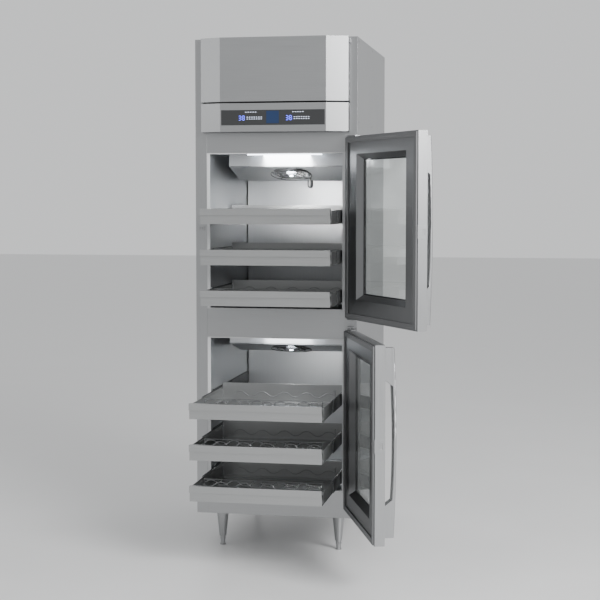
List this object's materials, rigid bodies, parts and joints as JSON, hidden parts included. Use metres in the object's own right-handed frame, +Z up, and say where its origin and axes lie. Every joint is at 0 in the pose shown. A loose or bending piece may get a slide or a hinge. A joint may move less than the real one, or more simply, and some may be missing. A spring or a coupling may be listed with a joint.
{
  "type": "proofing cabinet",
  "caption": "Upright stainless proofing cabinet with half-height glass doors, pull-out drawers with wavy wire racks, circulation fans and a top-mounted control and machine compartment on legs.",
  "frame": {"origin": "on the floor, under the middle of the cabinet's front face", "axes": "+Z up, +X to the right of someone facing the cabinet, +Y back through the cabinet"},
  "size_m": [1.022, 1.5014, 2.113],
  "materials": {
    "stainless_sheet": "satin",
    "foam": "matte",
    "trim": "satin",
    "hinge_steel": "satin",
    "leg_steel": "satin",
    "display": "gloss",
    "black_enamel": "satin",
    "fins": "matte",
    "fan_plastic": "satin",
    "lamp": "gloss",
    "probe": "satin",
    "slide_steel": "satin",
    "door_liner": "satin",
    "glass": "gloss",
    "rubber": "matte",
    "handle": "satin",
    "drawer_steel": "satin",
    "wire": "satin"
  },
  "bodies": {
    "cabinet": {"side_panels": "stainless_sheet", "back_panel": "stainless_sheet", "front_stiles": "stainless_sheet", "front_plates": "stainless_sheet", "liners": "stainless_sheet", "duct_panels": "stainless_sheet", "machine_panels": "stainless_sheet", "control_fascia": "stainless_sheet", "evaporator_housings": "stainless_sheet", "insulation": "foam", "breaker_strips": "trim", "hinge_brackets": "hinge_steel", "legs": "leg_steel", "levelling_feet": "leg_steel", "display_lens": "display", "compressor": "black_enamel", "fan_guards": "fan_plastic", "condenser": "fins", "evaporator_coils": "fins", "led_lamps": "lamp", "temperature_probes": "probe", "cabinet_slides": "slide_steel"},
    "shroud_body": {"shroud": "stainless_sheet"},
    "condenser_fan_body": {"condenser_fan": "fan_plastic"},
    "upper_door": {"upper_door_outer_skin": "stainless_sheet", "upper_door_inner_panel": "door_liner", "upper_door_core": "foam", "upper_door_glass": "glass", "upper_door_seals": "rubber", "upper_door_handle": "handle", "upper_door_hardware": "hinge_steel"},
    "upper_bolt": {"upper_lock_bolt": "hinge_steel"},
    "upper_fan": {"upper_fan_blades": "fan_plastic"},
    "upper_drawer_1": {"upper_drawer_1_tray": "drawer_steel", "upper_drawer_1_rack": "wire"},
    "upper_drawer_1_slides": {"upper_drawer_1_mid_slides": "slide_steel"},
    "upper_drawer_2": {"upper_drawer_2_tray": "drawer_steel", "upper_drawer_2_rack": "wire"},
    "upper_drawer_2_slides": {"upper_drawer_2_mid_slides": "slide_steel"},
    "upper_drawer_3": {"upper_drawer_3_tray": "drawer_steel", "upper_drawer_3_rack": "wire"},
    "upper_drawer_3_slides": {"upper_drawer_3_mid_slides": "slide_steel"},
    "lower_door": {"lower_door_outer_skin": "stainless_sheet", "lower_door_inner_panel": "door_liner", "lower_door_core": "foam", "lower_door_glass": "glass", "lower_door_seals": "rubber", "lower_door_handle": "handle", "lower_door_hardware": "hinge_steel"},
    "lower_bolt": {"lower_lock_bolt": "hinge_steel"},
    "lower_fan": {"lower_fan_blades": "fan_plastic"},
    "lower_drawer_1": {"lower_drawer_1_tray": "drawer_steel", "lower_drawer_1_rack": "wire"},
    "lower_drawer_1_slides": {"lower_drawer_1_mid_slides": "slide_steel"},
    "lower_drawer_2": {"lower_drawer_2_tray": "drawer_steel", "lower_drawer_2_rack": "wire"},
    "lower_drawer_2_slides": {"lower_drawer_2_mid_slides": "slide_steel"},
    "lower_drawer_3": {"lower_drawer_3_tray": "drawer_steel", "lower_drawer_3_rack": "wire"},
    "lower_drawer_3_slides": {"lower_drawer_3_mid_slides": "slide_steel"}
  },
  "joints": [
    {"name": "shroud_hinge", "type": "hinge", "parent": "cabinet", "child": "shroud_body", "pos_m": [0, -0.012, 2.098], "axis": [-1, 0, 0], "range_deg": [0, 60]},
    {"name": "condenser_fan_spin", "type": "hinge", "parent": "cabinet", "child": "condenser_fan_body", "pos_m": [0, 0.176, 1.883], "axis": [0, 1, 0], "continuous": true},
    {"name": "upper_door_hinge", "type": "hinge", "parent": "cabinet", "child": "upper_door", "pos_m": [0.3156, -0.0318, 0], "axis": [0, 0, 1], "range_deg": [-38, 27]},
    {"name": "upper_lock_slide", "type": "slide", "parent": "upper_door", "child": "upper_bolt", "axis": [0.5505, -0.8348, 0], "range_m": [0, 0.012]},
    {"name": "upper_fan_spin", "type": "hinge", "parent": "cabinet", "child": "upper_fan", "pos_m": [0.027, 0.2, 1.57], "axis": [0, -0.2516, -0.9678], "continuous": true},
    {"name": "upper_drawer_1_travel", "type": "slide", "parent": "cabinet", "child": "upper_drawer_1", "axis": [0, -1, 0], "range_m": [-0.239, 0.311]},
    {"name": "upper_drawer_1_slide_travel", "type": "slide", "parent": "cabinet", "child": "upper_drawer_1_slides", "axis": [0, -1, 0], "range_m": [-0.1195, 0.1555]},
    {"name": "upper_drawer_2_travel", "type": "slide", "parent": "cabinet", "child": "upper_drawer_2", "axis": [0, -1, 0], "range_m": [-0.239, 0.311]},
    {"name": "upper_drawer_2_slide_travel", "type": "slide", "parent": "cabinet", "child": "upper_drawer_2_slides", "axis": [0, -1, 0], "range_m": [-0.1195, 0.1555]},
    {"name": "upper_drawer_3_travel", "type": "slide", "parent": "cabinet", "child": "upper_drawer_3", "axis": [0, -1, 0], "range_m": [-0.239, 0.311]},
    {"name": "upper_drawer_3_slide_travel", "type": "slide", "parent": "cabinet", "child": "upper_drawer_3_slides", "axis": [0, -1, 0], "range_m": [-0.1195, 0.1555]},
    {"name": "lower_door_hinge", "type": "hinge", "parent": "cabinet", "child": "lower_door", "pos_m": [0.3156, -0.0318, 0], "axis": [0, 0, 1], "range_deg": [-22, 41]},
    {"name": "lower_lock_slide", "type": "slide", "parent": "lower_door", "child": "lower_bolt", "axis": [0.3223, -0.9466, 0], "range_m": [0, 0.012]},
    {"name": "lower_fan_spin", "type": "hinge", "parent": "cabinet", "child": "lower_fan", "pos_m": [0.027, 0.2, 0.832], "axis": [0, -0.2334, -0.9724], "continuous": true},
    {"name": "lower_drawer_1_travel", "type": "slide", "parent": "cabinet", "child": "lower_drawer_1", "axis": [0, -1, 0], "range_m": [-0.422, 0.128]},
    {"name": "lower_drawer_1_slide_travel", "type": "slide", "parent": "cabinet", "child": "lower_drawer_1_slides", "axis": [0, -1, 0], "range_m": [-0.211, 0.064]},
    {"name": "lower_drawer_2_travel", "type": "slide", "parent": "cabinet", "child": "lower_drawer_2", "axis": [0, -1, 0], "range_m": [-0.422, 0.128]},
    {"name": "lower_drawer_2_slide_travel", "type": "slide", "parent": "cabinet", "child": "lower_drawer_2_slides", "axis": [0, -1, 0], "range_m": [-0.211, 0.064]},
    {"name": "lower_drawer_3_travel", "type": "slide", "parent": "cabinet", "child": "lower_drawer_3", "axis": [0, -1, 0], "range_m": [-0.422, 0.128]},
    {"name": "lower_drawer_3_slide_travel", "type": "slide", "parent": "cabinet", "child": "lower_drawer_3_slides", "axis": [0, -1, 0], "range_m": [-0.211, 0.064]}
  ],
  "couplings": [
    {"joint": "upper_drawer_1_slide_travel", "follows": "upper_drawer_1_travel", "ratio": 0.5},
    {"joint": "upper_drawer_2_slide_travel", "follows": "upper_drawer_2_travel", "ratio": 0.5},
    {"joint": "upper_drawer_3_slide_travel", "follows": "upper_drawer_3_travel", "ratio": 0.5},
    {"joint": "lower_drawer_1_slide_travel", "follows": "lower_drawer_1_travel", "ratio": 0.5},
    {"joint": "lower_drawer_2_slide_travel", "follows": "lower_drawer_2_travel", "ratio": 0.5},
    {"joint": "lower_drawer_3_slide_travel", "follows": "lower_drawer_3_travel", "ratio": 0.5}
  ]
}
